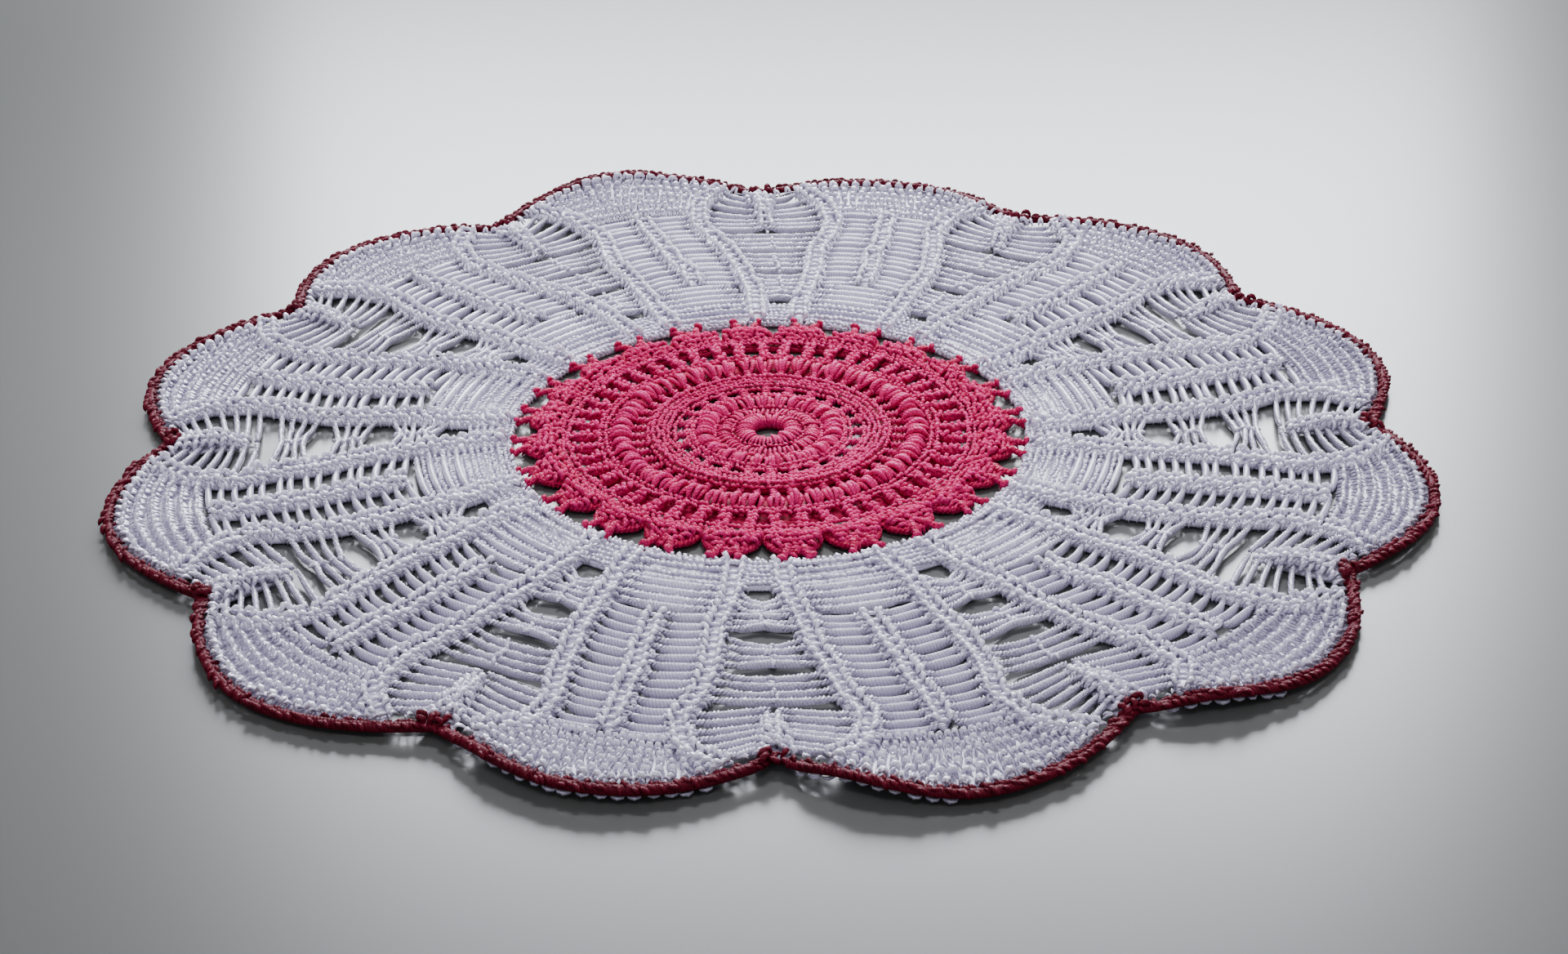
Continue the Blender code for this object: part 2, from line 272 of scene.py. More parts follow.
# The whole mat, as in its solids
PETALS = 12
SHELLS = 24
SECTOR = 360 / PETALS
FIRST_GAP = 1.0
SEAM = 0.3
CORD = 2.5
BODY_INNER = 62.3
START_TURN = -2.7
RIM_START = 128.0
NOTCH_MARK = 146.0
GAP_MARKS = np.array((BODY_INNER, 94.0, 108.0, NOTCH_MARK))
RIB_WIDTH = 6.2
RIB_LEAN = 0.5
RIM_STEPS = 40

# Middle line of each gap between two petals: its sideways turn at three radii, the radius of
# the notch that ends it, and how far the rim stands up there
GAPS = (
    (-1.6, -0.6, -0.5, 143.2, 1.2), (-1.6, -0.8, -0.3, 146.2, 0.9),
    (-2.5, -1.7, 0.0, 146.4, 0.4), (-2.7, -2.0, -0.6, 146.8, 0.3),
    (-1.1, -1.6, -0.9, 144.4, 0.8), (-2.0, -1.6, 0.3, 144.6, 1.4),
    (-2.6, -1.2, 0.3, 146.8, 1.8), (-2.6, -1.1, 0.3, 146.0, 1.2),
    (-2.4, 0.2, -0.9, 145.2, 0.5), (-0.3, 0.9, 0.3, 145.2, 0.3),
    (0.0, 0.6, 0.6, 145.8, 0.6), (-1.0, -0.3, 1.5, 146.2, 1.0),
)

# Scalloped end of each petal: its reach, and how far the rim stands up at three places along it
PETAL_ENDS = (
    (160.4, 3.4, 1.0, 0.8), (160.2, 3.0, 0.6, 0.6),
    (158.8, 1.0, 0.3, 0.5), (159.0, 0.6, 0.2, 0.7),
    (159.0, 1.0, 0.8, 1.4), (158.4, 1.5, 1.2, 1.8),
    (162.6, 2.4, 4.2, 2.2), (160.0, 1.6, 1.0, 0.8),
    (158.8, 0.6, 0.3, 0.4), (158.0, 0.5, 0.3, 0.8),
    (160.2, 1.4, 0.6, 0.8), (157.6, 2.8, 2.2, 1.4),
)
LIFT_SHARES = np.array((0.0, 0.17, 0.5, 0.83, 1.0))

# Middle of a side rib: radius, and how far it lies from its gap line, as a share of the sector
SIDE_RIB = (
    (62.3, 0.155), (76.0, 0.160), (88.0, 0.188), (100.0, 0.205), (112.0, 0.232),
    (127.0, 0.290), (136.0, 0.250), (142.0, 0.165), (147.0, 0.105),
)

MEDALLION_TURN = FIRST_GAP + START_TURN

*gap_turns, NOTCHES, gap_lifts = np.array(GAPS).T
CRESTS, *petal_lifts = np.array(PETAL_ENDS).T
GAP_TURNS = np.stack((np.full(PETALS, START_TURN), *gap_turns), axis=1)
LIFTS = np.stack((gap_lifts, *petal_lifts, np.roll(gap_lifts, -1)), axis=1)

medallion_low, medallion_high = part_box("medallion")
AXIS = np.array([*((medallion_low + medallion_high) / 2).xy, 0.0])


def bounded(share):
    return np.clip(share, 0.0, 1.0)


def smooth(share):
    share = bounded(share)
    return share * share * (3 - 2 * share)


def between(first, last, part):
    return first + part * (last - first)


def read_table(table, row, marks, value, ease):
    """The value between two marks, from a table with a row for each petal and a column a mark."""
    index = np.clip(np.searchsorted(marks, value) - 1, 0, len(marks) - 2)
    part = ease((value - marks[index]) / (marks[index + 1] - marks[index]))
    return between(table[row % PETALS, index], table[row % PETALS, index + 1], part)


def as_floats(*values):
    """Numbers and arrays as arrays of one shape."""
    return np.broadcast_arrays(*(np.asarray(value, float) for value in values))


def gap_angle(gap, radius):
    """Angle of a gap's middle line, which leans a little on its way out."""
    return gap * SECTOR + FIRST_GAP + read_table(GAP_TURNS, gap, GAP_MARKS, radius, bounded)


def turn_angle(turn, radius):
    petal = np.floor(turn).astype(int)
    return between(gap_angle(petal, radius), gap_angle(petal + 1, radius), turn - petal)


def edge_radius(turn):
    """Outer radius of the finished rim: a notch at each gap line and a round scallop between."""
    petal = np.floor(turn).astype(int)
    share = turn - petal
    notch = between(NOTCHES[petal % PETALS], NOTCHES[(petal + 1) % PETALS], share)
    return between(notch, CRESTS[petal % PETALS], np.sin(np.pi * share))


def rim_lift(turn):
    """How far the rim stands off the table."""
    petal = np.floor(turn).astype(int)
    return read_table(LIFTS, petal, LIFT_SHARES, turn - petal, smooth)


def polar(angle, radius, height):
    angle = np.radians(angle)
    return np.stack(as_floats(radius * np.sin(angle), -radius * np.cos(angle), height), axis=-1)


def lay(turn, radius, height):
    """Points on the body, from petals turned through, radius along the gap lines and height.

    The height is off the table, and where the rim stands up its lift is added.
    """
    turn, radius, height = as_floats(turn, radius, height)
    reach = np.maximum((radius - RIM_START) / (NOTCH_MARK - RIM_START), 0.0)
    outer = edge_radius(turn) - CORD - SEAM
    real = np.where(reach > 0, between(RIM_START, outer, reach), radius)
    return polar(turn_angle(turn, radius), real, height + rim_lift(turn) * smooth(reach))


def lay_real(turn, radius, height):
    """As lay, but from real radii."""
    outer = edge_radius(turn) - CORD - SEAM
    past = (radius - RIM_START) * (NOTCH_MARK - RIM_START) / (outer - RIM_START)
    return lay(turn, np.where(radius > RIM_START, RIM_START + past, radius), height)


def read_rows(radius, rows):
    """The value at a radius, from rows of a radius and a value."""
    return np.interp(radius, *zip(*rows))


def side_share(radius):
    return read_rows(radius, SIDE_RIB)


def share_of(width, radius):
    """What a width in millimetres is of a sector at this radius."""
    return width / (radius * math.radians(SECTOR))


def flank(radius, tuck, side):
    """Share where a side rib's flank lies, less a tuck under it. Side is -1 towards its gap."""
    return side_share(radius) + side * share_of(RIB_WIDTH / 2 - tuck, radius)


def bend(points, count):
    """A smooth curve through a few points, as that many points."""
    points = np.array(points, float)
    padded = np.vstack((2 * points[0] - points[1], points, 2 * points[-1] - points[-2]))
    place = np.linspace(0, len(points) - 1, count)
    index = np.minimum(place.astype(int), len(points) - 2)
    t = (place - index)[:, None]
    a, b, c, d = (padded[index + step] for step in range(4))
    return b + 0.5 * t * (c - a + t * (2 * a - 5 * b + 4 * c - d + t * (3 * (b - c) + d - a)))


# Strands: how far off a place on a line its direction is read, how steep is too steep for a guide
# that points up, how thick they are next to their tips, how their tone and size differ, and how
# much less a stitch strays up than aside. Tiny keeps a length from being zero
DIRECTION_REACH = 0.6
STEEP = 0.9
TIP_SHARE = 0.72
TONE_SPREAD = 0.25
GROWTH_SPREAD = 0.07
UNEVEN_UP = 0.5
TINY = 1e-9


class Line:
    """A path in millimetres that is read by its length. Across is to its right, seen from above."""

    def __init__(self, points, fine=0):
        points = bend(points, fine) if fine else np.asarray(points, float)
        steps = np.linalg.norm(np.diff(points, axis=0), axis=1)
        self.marks = np.concatenate(((0.0,), np.cumsum(steps)))
        self.length = self.marks[-1]
        self.points = points

    def read(self, along):
        return np.stack([np.interp(along, self.marks, self.points[:, axis]) for axis in range(3)], -1)

    def at(self, along, across=0.0, up=0.0):
        along, across, up = as_floats(along, across, up)
        inside = np.clip(along, 0.0, self.length)
        near = min(DIRECTION_REACH, self.length / 4)
        ahead = self.read(np.minimum(inside + near, self.length))
        behind = self.read(np.maximum(inside - near, 0.0))
        forward = ahead - behind
        forward /= np.linalg.norm(forward, axis=-1, keepdims=True)
        right = np.stack((forward[..., 1], -forward[..., 0], np.zeros_like(along)), -1)
        right /= np.linalg.norm(right, axis=-1, keepdims=True)
        points = self.read(inside) + forward * (along - inside)[..., None] + right * across[..., None]
        points[..., 2] += up
        return points

    def places(self, pitch, offset=0.0, start=0.0, end=0.0):
        """Even places about a pitch apart, from half a pitch past the start."""
        length = self.length - end - start
        count = max(int(round(length / pitch)), 1)
        return start + length / count * (np.arange(count) + 0.5 + offset)


def strand_frames(points):
    """Directions to the right and up at each point of strands, without twist along them."""
    forward = np.gradient(points, axis=1)
    forward /= np.maximum(np.linalg.norm(forward, axis=-1, keepdims=True), TINY)
    first = forward[:, 0]
    guide = np.where(np.abs(first[:, 2:]) > STEEP, (1.0, 0.0, 0.0), (0.0, 0.0, 1.0))
    right = np.cross(first, guide)
    rights = []
    for step in range(points.shape[1]):
        right = right - (right * forward[:, step]).sum(-1, keepdims=True) * forward[:, step]
        right = right / np.linalg.norm(right, axis=-1, keepdims=True)
        rights.append(right)
    rights = np.stack(rights, 1)
    return rights, np.cross(rights, forward)


def strand_faces(steps, sides):
    """A strand's side faces and its tips' faces, each with how far round their corners lie."""
    side = np.arange(sides)
    after = (side + 1) % sides
    near = 1 + sides * np.arange(steps - 3)[:, None]
    far = near + sides
    quads = np.stack((near + side, far + side, far + after, near + after), -1).reshape(-1, 4)
    last = 1 + sides * (steps - 3)
    first_tip = np.stack((0 * side, 1 + side, 1 + after), -1)
    last_tip = np.stack((last + after, last + side, 0 * side + last + sides), -1)
    here = side / sides
    there = here + 1 / sides
    quad_turns = np.tile(np.stack((here, here, there, there), -1), (steps - 3, 1))
    tip_turns = np.stack(((here, here, there), (there, here, here))).transpose(0, 2, 1)
    return (quads, quad_turns), (np.concatenate((first_tip, last_tip)), tip_turns.reshape(-1, 3))


class Yarn:
    """Collects strands of thread and makes one mesh of them."""

    def __init__(self):
        self.verts, self.corners, self.starts, self.uvs, self.shading_and_tones = [], [], [], [], []
        self.count = 0
        self.loops = 0

    def take(self, points, shading_and_tones, *groups):
        """Adds points, a tone for each, and groups of faces of one size with a UV a corner."""
        for faces, uvs in groups:
            many, size = faces.shape
            self.corners.append((faces + self.count).ravel())
            self.starts.append(self.loops + size * np.arange(many))
            self.uvs.append(uvs.reshape(-1, 2))
            self.loops += faces.size
        self.verts.append(points.reshape(-1, 3))
        self.shading_and_tones.append(shading_and_tones.ravel())
        self.count += points.size // 3

    def strands(self, points, radius, sides=5, squash=1.0, tone=0.0):
        """Round strands of the same number of points. Each one's first and last point is its tip."""
        points = points.reshape(-1, *points.shape[-2:])
        many, steps, _ = points.shape
        rights, above = strand_frames(points)
        turns = 2 * np.pi * (np.arange(sides) + 0.5) / sides
        radius = radius + np.zeros((many, steps))
        radius[:, (1, -2)] *= TIP_SHARE
        circle = (
            np.cos(turns)[:, None] * rights[:, 1:-1, None]
            + squash * np.sin(turns)[:, None] * above[:, 1:-1, None]
        )
        rings = points[:, 1:-1, None] + radius[:, 1:-1, None, None] * circle
        rings = rings.reshape(many, -1, 3)
        verts = np.concatenate((points[:, :1], rings, points[:, -1:]), axis=1)
        size = verts.shape[1]
        # A strand's shading value: painted light or shade, with a little random variation added.
        shading_and_tones = np.reshape(tone, (-1, 1)) + chance.normal(0.0, TONE_SPREAD, (many, 1))
        travel = np.linalg.norm(np.diff(points, axis=1), axis=-1)
        travel = np.concatenate((np.zeros((many, 1)), np.cumsum(travel, axis=1)), axis=1)
        travel = np.repeat(travel, (1, *[sides] * (steps - 2), 1), axis=1)
        offset = size * np.arange(many)[:, None, None]
        groups = []
        for faces, turns in strand_faces(steps, sides):
            uvs = np.stack(np.broadcast_arrays(travel[:, faces], turns), -1)
            groups.append(((faces + offset).reshape(-1, faces.shape[1]), uvs))
        self.take(verts, shading_and_tones + np.zeros((many, size)), *groups)

    def slab(self, top, thick, tone=0.0):
        """A thin closed sheet under a grid of points."""
        rows, columns, _ = top.shape
        bottom = top - (0.0, 0.0, thick)
        below = rows * columns
        index = np.arange(below).reshape(rows, columns)
        up = np.stack((index[:-1, :-1], index[1:, :-1], index[1:, 1:], index[:-1, 1:]), -1)
        up = up.reshape(-1, 4)
        down = np.roll(up[:, ::-1], 1, axis=1) + below
        loop = np.concatenate((index[0, :-1], index[:-1, -1], index[-1, :0:-1], index[:0:-1, 0]))
        after = np.roll(loop, -1)
        walls = np.stack((loop, after, after + below, loop + below), -1)
        faces = np.concatenate((up, down, walls))
        verts = np.concatenate((top.reshape(-1, 3), bottom.reshape(-1, 3)))
        if np.cross(top[1, 0] - top[0, 0], top[0, 1] - top[0, 0])[2] < 0:
            faces = faces[:, ::-1]
        self.take(verts, np.full(len(verts), tone), (faces, verts[faces][..., :2]))

    def make(self, name, material):
        verts = np.concatenate(self.verts) * MM + AXIS
        corners = np.concatenate(self.corners).astype(np.int32)
        starts = np.concatenate(self.starts).astype(np.int32)
        mesh = bpy.data.meshes.new(name)
        mesh.vertices.add(len(verts))
        mesh.vertices.foreach_set("co", verts.astype(np.float32).ravel())
        mesh.loops.add(len(corners))
        mesh.loops.foreach_set("vertex_index", corners)
        mesh.polygons.add(len(starts))
        mesh.polygons.foreach_set("loop_start", starts)
        mesh.update(calc_edges=True)
        mesh.shade_smooth()
        layer = mesh.uv_layers.new(name="thread")
        layer.uv.foreach_set("vector", np.concatenate(self.uvs).astype(np.float32).ravel())
        # Each point keeps its strand's shading value: painted light and shade, with a little random
        # variation.
        tone = mesh.attributes.new("tone", "FLOAT", "POINT")
        tone.data.foreach_set("value", np.concatenate(self.shading_and_tones).astype(np.float32))
        mesh.materials.append(material)
        piece = new_object(name, mesh)
        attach(piece, "root")
        return piece


def core(yarn, line, points, radius, inset=0.0, across=0.0, up=0.0, **look):
    """One plain strand along a line."""
    along = np.linspace(inset, line.length - inset, points)
    yarn.strands(line.at(along, across, up), radius, **look)


def rope(yarn, line, pitch, swing, rise, radius, up=0.0, sides=4, per_turn=6, tone=0.0):
    """Two strands twisted round each other along a line."""
    count = max(int(round(line.length / pitch * per_turn)), 4) + 1
    along = np.linspace(0, line.length, count)
    phase = 2 * np.pi * along / pitch + chance.uniform(0, 2 * np.pi)
    strands = []
    for turned in (0.0, np.pi):
        across = swing * np.cos(phase + turned)
        strands.append(line.at(along, across, up + rise * np.sin(phase + turned)))
    yarn.strands(np.stack(strands), radius, sides, tone=tone)


def work(
    yarn, line, places, stitch, radius, sides=5, size=1.0, across=0.0, up=0.0, mirror=False,
    uneven=0.12, twirl=0.0, tone=0.0,
):
    """Works a stitch, given as points along, across and up, at each of the places on a line.

    Size is one factor, or three for each place. Uneven is how far a stitch strays from its
    place, and twirl how far it turns, in radians.
    """
    places = np.asarray(places, float)
    many = len(places)
    stitch = stitch * np.broadcast_to(size, (many, 3))[:, None]
    aside = -stitch[..., 1] if mirror else stitch[..., 1]
    shift = chance.normal(0.0, uneven, (many, 3))
    grow = 1 + chance.normal(0.0, GROWTH_SPREAD, (many, 1))
    turned = chance.normal(0.0, twirl, (many, 1))
    ahead = (stitch[..., 0] * np.cos(turned) - aside * np.sin(turned)) * grow
    aside = (stitch[..., 0] * np.sin(turned) + aside * np.cos(turned)) * grow
    height = stitch[..., 2] * grow + up + shift[:, 2:] * UNEVEN_UP
    points = line.at(places[:, None] + shift[:, :1] + ahead, across + aside + shift[:, 1:2], height)
    yarn.strands(points, radius * grow, sides, tone=tone)


def turned_angles(steps):
    """Angles once round the medallion."""
    return np.linspace(0, 360, steps + 1) + MEDALLION_TURN


def ring_line(radius):
    return Line(polar(turned_angles(steps=180), radius, 0.0))


def place_angle(index, count):
    """Angle of one of so many places round the medallion."""
    return MEDALLION_TURN + (index + 0.5) * 360 / count


def rays(count, inner, outer, shift=0.0, lean=0.0, alternate=False):
    """Lines outwards, evenly round the medallion. Where they alternate, every other one mirrors."""
    for index in range(count):
        side = -1 if alternate and index % 2 == 0 else 1
        angle = place_angle(index, count) + side * shift
        yield Line(polar(np.array((angle, angle + side * lean)), np.array((inner, outer)), 0.0))


def edging_line():
    """Middle line of the edging, set in from the finished outline by half the cord."""
    turn = np.linspace(0, PETALS, PETALS * RIM_STEPS + 1)
    angle = turn_angle(turn, np.full(len(turn), NOTCH_MARK))
    outline = polar(angle, edge_radius(turn), 0.0)
    forward = np.roll(outline[:-1], -1, axis=0) - np.roll(outline[:-1], 1, axis=0)
    forward = np.vstack((forward, forward[:1]))
    normal = np.stack((forward[:, 1], -forward[:, 0], np.zeros(len(turn))), -1)
    normal /= np.linalg.norm(normal, axis=1, keepdims=True)
    middle = outline - normal * CORD / 2
    middle[:, 2] = rim_lift(turn) + CORD / 2
    return Line(middle)


# Stitches that several sub-parts share, each as points along its line, across it and up
BEAD = bend(((-0.85, -0.3, 0.0), (-0.35, -0.12, 0.55), (0.35, 0.12, 0.55), (0.85, 0.3, 0.0)), 5)
PEARL = bend(((-0.4, -0.9, 0.5), (-0.25, -0.45, 1.6), (0.2, 0.2, 2.1), (0.4, 0.85, 1.0)), 5)
HOOK = bend(
    ((-0.7, -1.3, 0.5), (-0.8, -0.4, 1.7), (0.0, 0.15, 2.3), (0.75, 0.3, 1.8), (0.7, 1.1, 0.7)), 7
)

# Chains: their twisted strands, how much lighter these are painted than the core under them, as
# painted light on top and painted shade below, and how much each chain's colour varies at random
RUNG_CHAIN = dict(pitch=1.9, swing=0.44, rise=0.5, radius=0.42, per_turn=4, up=0.5, sides=3)
BAR_CHAIN = dict(pitch=1.9, swing=0.42, rise=0.45, radius=0.42, per_turn=4, up=0.4, sides=3)
CHAIN_ROPE_LIGHT = 0.4
CHAIN_TONE_SPREAD = 0.3


def chain(yarn, line, look, thick, tone):
    """Two strands twisted round each other over a tall core, which closes the gap under them."""
    tone = chance.normal(tone, CHAIN_TONE_SPREAD)
    # The core is painted darker than the strands over it: painted shade under them.
    core(yarn, line, points=7, radius=thick, inset=0.3, up=-0.05, sides=6, squash=1.75, tone=tone)
    rope(yarn, line, tone=tone + CHAIN_ROPE_LIGHT, **look)


# Rungs of chain between the ribs: radii of the first and the last at the middle and the side rib
RUNGS = 15
RUNG_MIDDLE = (88.4, 134.0)
RUNG_SIDE = (86.6, 133.6)
RUNG_MIDDLE_TUCK = 1.6
RUNG_SIDE_TUCK = 1.4
RUNG_SHARES = np.array((0.0, 0.12, 0.3, 0.5, 0.7, 0.88, 1.0))
RUNG_SPREAD = 0.22
RUNG_SAG = 0.5
RUNG_SAG_SPREAD = 0.35
RUNG_HEIGHT = 1.2
RUNG_END_RISE = 0.7
RUNG_HEIGHT_SPREAD = 0.08


def rung_line(petal, mirror, rung):
    part = rung / (RUNGS - 1)
    middle = between(*RUNG_MIDDLE, part) + chance.normal(0, RUNG_SPREAD)
    side = between(*RUNG_SIDE, part) + chance.normal(0, RUNG_SPREAD)
    near = flank(side, RUNG_SIDE_TUCK, 1)
    far = 0.5 - share_of(RIB_WIDTH / 2 - RUNG_MIDDLE_TUCK, middle)
    sag = RUNG_SAG + chance.normal(0, RUNG_SAG_SPREAD)
    t = RUNG_SHARES
    share = between(near, far, t)
    radius = between(side, middle, t) + sag * np.sin(np.pi * t)
    turn = petal + (1 - share if mirror else share)
    height = RUNG_HEIGHT + RUNG_END_RISE * np.abs(2 * t - 1) ** 3
    height += chance.normal(0, RUNG_HEIGHT_SPREAD)
    return Line(lay_real(turn, radius, height), fine=20)


def make_rungs():
    yarn = Yarn()
    for petal in range(PETALS):
        for mirror in (False, True):
            for rung in range(RUNGS):
                # The rungs are painted darker than the ribs: painted shade where they lie low between
                # them.
                chain(yarn, rung_line(petal, mirror, rung), RUNG_CHAIN, thick=0.86, tone=-1.4)
    return yarn.make("body_rungs", WHITE)


# Bundles of bars that cross a gap: the radius of their knot and of each bar at the ribs
BUNDLES = (
    (86.0, (77.6, 80.5, 83.4, 86.2, 89.1, 92.0)),
    (101.2, (96.0, 99.4, 102.9, 106.3)),
    (115.0, (109.9, 113.2, 116.5, 119.8)),
)
# How far each gap's three bundles are left open at their knot
BUNDLE_OPENNESS = (
    (0.62, 0.62, 0.85), (0.58, 0.55, 0.78), (0.45, 0.42, 0.58), (0.45, 0.48, 0.46),
    (0.60, 0.52, 0.60), (0.80, 0.84, 0.85), (0.82, 0.84, 0.90), (0.70, 0.84, 0.82),
    (0.42, 0.42, 0.60), (0.50, 0.46, 0.52), (0.52, 0.50, 0.72), (0.60, 0.52, 0.85),
)
BUNDLE_SPREAD = 0.5
BUNDLE_TURN_SPREAD = 0.012
BUNDLE_NARROWING = 1.3
BAR_STEPS = 9
BAR_SPREAD = 0.16
BAR_TUCK = 1.3
BAR_HEIGHT = 1.15
BAR_END_RISE = 0.7
KNOT_MARGIN = 0.7
KNOT_BEADS = dict(radius=0.5, up=1.7, uneven=0.35, twirl=0.8, size=1.1)
# The bars are painted darker than the ribs too: painted shade where they lie low.
BAR_LOOK = dict(look=BAR_CHAIN, thick=0.66, tone=-1.1)

# Bars from the side ribs to the fan in each gap
FAN_BARS = (125.8, 128.5, 131.2, 133.9, 136.6, 139.3, 141.9)
FAN_BAR_TUCK = 1.2
FAN_BAR_END = 0.4
FAN_BAR_ARCH = 3.3
FAN_BAR_ARCH_SHARE = 10
FAN_BAR_SPREAD = 0.25
FAN_BAR_RISES = (0.6, 0.7)
FAN_BAR_STEPS = 7


def bundle_bar(gap, bar, centre, aside, openness, crossing):
    """A bar that is drawn towards its bundle's knot, and rises there if it crosses the others."""
    t = np.linspace(-1, 1, BAR_STEPS)
    draw = openness + (1 - openness) * np.abs(t) ** BUNDLE_NARROWING
    radius = between(centre, bar, draw) + chance.normal(0, BAR_SPREAD, BAR_STEPS)
    turn = gap + t * flank(bar, BAR_TUCK, -1) + aside * (1 - t * t)
    tight = (1 - openness) * crossing
    height = BAR_HEIGHT + BAR_END_RISE * np.abs(t) ** 4 + tight * (1 - t * t)
    return Line(lay(turn, radius, height), fine=30)


def bundle(yarn, gap, knot, bars, openness):
    """Bars side by side, and beads over the middle where they are knotted."""
    centre = knot + chance.normal(0, BUNDLE_SPREAD)
    aside = chance.normal(0, BUNDLE_TURN_SPREAD)
    for order, bar in enumerate(bars):
        chain(yarn, bundle_bar(gap, bar, centre, aside, openness, order % 2), **BAR_LOOK)
    reach = (bars[-1] - bars[0]) * openness / 2 + KNOT_MARGIN
    line = Line(lay(gap + aside, centre + np.array((-reach, 0, reach)), 0.0), fine=9)
    work(yarn, line, line.places(pitch=1.2), BEAD, **KNOT_BEADS)


def fan_bar(gap, bar, side):
    """A bar from a side rib to the fan, arched towards the centre."""
    t = np.linspace(0, 1, FAN_BAR_STEPS)
    outer = flank(bar, FAN_BAR_TUCK, -1)
    fan = share_of(FAN_BAR_END, bar)
    share = between(outer, fan, t)
    arch = min(FAN_BAR_ARCH, (outer - fan) * FAN_BAR_ARCH_SHARE) * np.sin(np.pi / 2 * t)
    radius = bar - arch + chance.normal(0, FAN_BAR_SPREAD)
    rib_rise, fan_rise = FAN_BAR_RISES
    height = BAR_HEIGHT + rib_rise * np.abs(1 - t) ** 4 + fan_rise * t**2
    return Line(lay(gap + side * share, radius, height), fine=20)


def make_bars():
    yarn = Yarn()
    for gap in range(PETALS):
        for (knot, bars), openness in zip(BUNDLES, BUNDLE_OPENNESS[gap]):
            bundle(yarn, gap, knot, bars, openness)
        for bar in FAN_BARS:
            for side in (-1, 1):
                chain(yarn, fan_bar(gap, bar, side), **BAR_LOOK)
    return yarn.make("body_bars", WHITE)


# Ribs: two columns of knots, with a loop between each pair, slanting legs on both sides and links
# across, over a low core. The knots and loops on the crest are painted lighter and the core darker:
# painted highlight and shade
KNOT_PITCH = 3.2
RIB_LEG = bend(((-0.5, 3.0, 0.4), (-0.5, 2.9, 1.6), (0.1, 2.3, 2.5), (0.9, 1.5, 2.7)), 5)
RIB_KNOT = bend(
    ((-1.2, 0.9, 2.0), (-0.8, 1.7, 3.1), (-0.1, 1.8, 3.8), (0.6, 1.3, 3.6), (1.1, 0.8, 2.5)), 6
)
RIB_LOOP = bend(((-0.9, 2.1, 2.0), (-0.4, 2.0, 3.1), (0.3, 1.5, 3.4), (0.9, 1.0, 2.3)), 5)
RIB_LINK = bend(((0.4, -1.6, 2.2), (0.6, -0.7, 3.0), (0.6, 0.6, 3.0), (0.4, 1.6, 2.2)), 5)
RIB_END = 0.6
RIB_STAGGER = 0.06
RIB_CORE = 2.5
RIB_CORE_UP = 0.9
RIB_CORE_PITCH = 3
RIB_FOOT = -0.1
SIDE_RIB_RADII = np.linspace(BODY_INNER + 0.4, NOTCH_MARK - 0.6, 60)
MIDDLE_RIB_RADII = np.linspace(86.5, 135.0, 24)
WAVER = 0.35
WAVER_STEPS = 10


def rib(yarn, line, size=1.0):
    shared = dict(across=RIB_LEAN, size=size, uneven=0.1, sides=4)
    for mirror in (False, True):
        side = dict(mirror=mirror, twirl=0.15, **shared)
        stagger = RIB_STAGGER if mirror else -RIB_STAGGER
        knots = line.places(KNOT_PITCH, stagger, RIB_END, RIB_END)
        loops = knots[:-1] + KNOT_PITCH / 2
        # Knots and loops on the crest are painted lighter, legs and links less, and the core darker:
        # painted highlight and shade.
        work(yarn, line, knots, RIB_KNOT, radius=0.66, tone=2.6, **side)
        work(yarn, line, loops, RIB_LOOP, radius=0.6, tone=2.0, **side)
        work(yarn, line, knots, RIB_LEG, radius=0.5, tone=0.5, **side)
        work(yarn, line, loops, RIB_LEG, radius=0.5, tone=0.0, **side)
    work(yarn, line, knots, RIB_LINK, radius=0.56, tone=0.8, **shared)
    points = int(line.length / RIB_CORE_PITCH)
    look = dict(across=RIB_LEAN, up=RIB_CORE_UP * size, sides=8, squash=0.34, tone=-1.2)
    core(yarn, line, points, RIB_CORE * size, **look)


def waver(radius):
    """How far a rib drifts to the side along its way, in millimetres."""
    marks = np.linspace(radius[0], radius[-1], WAVER_STEPS)
    return np.interp(radius, marks, chance.normal(0, WAVER, WAVER_STEPS))


def side_rib_line(petal, mirror):
    radius = SIDE_RIB_RADII
    share = side_share(radius) + share_of(waver(radius), radius)
    turn = petal + (1 - share if mirror else share)
    return Line(lay(turn, radius, RIB_FOOT))


def middle_rib_line(petal):
    radius = MIDDLE_RIB_RADII
    turn = petal + 0.5 + share_of(waver(radius), radius)
    return Line(lay_real(turn, radius, RIB_FOOT))


def make_ribs():
    """Left and right side ribs, with every other middle rib in each of the two pieces."""
    pieces = []
    for name, mirror in (("body_ribs_left", False), ("body_ribs_right", True)):
        yarn = Yarn()
        for petal in range(PETALS):
            rib(yarn, side_rib_line(petal, mirror))
            if petal % 2 == mirror:
                rib(yarn, middle_rib_line(petal))
        pieces.append(yarn.make(name, WHITE))
    return pieces


# Close rows at the foot of each petal: radius, how far in they end, and their height
BASE_ROWS = (
    (63.6, 0.0, 1.6), (65.2, 0.0, 2.2), (66.8, 0.0, 1.4), (68.4, 0.0, 2.5), (70.0, 0.0, 1.3),
    (71.6, 0.0, 2.2), (73.3, 0.0, 1.6), (76.9, 0.0, 1.3), (80.1, 0.0, 1.3), (83.3, 0.03, 1.3),
)
BASE_STITCH = 1.3
BASE_TUCK = 1.0
BEAD_HEIGHT = 0.5
# Rows higher than the middle height are painted lighter, and lower ones darker, by so much a
# millimetre: painted light and shade
ROW_MIDDLE_HEIGHT = 1.7
ROW_HEIGHT_LIGHT = 1.1
ROW_STEPS = 24

# Chains between the outer of those rows: radius and how far in they end
WALL_ROWS = ((75.3, 0.0), (78.5, 0.0), (81.8, 0.02), (84.8, 0.05))
WALL_HEIGHT = 1.7

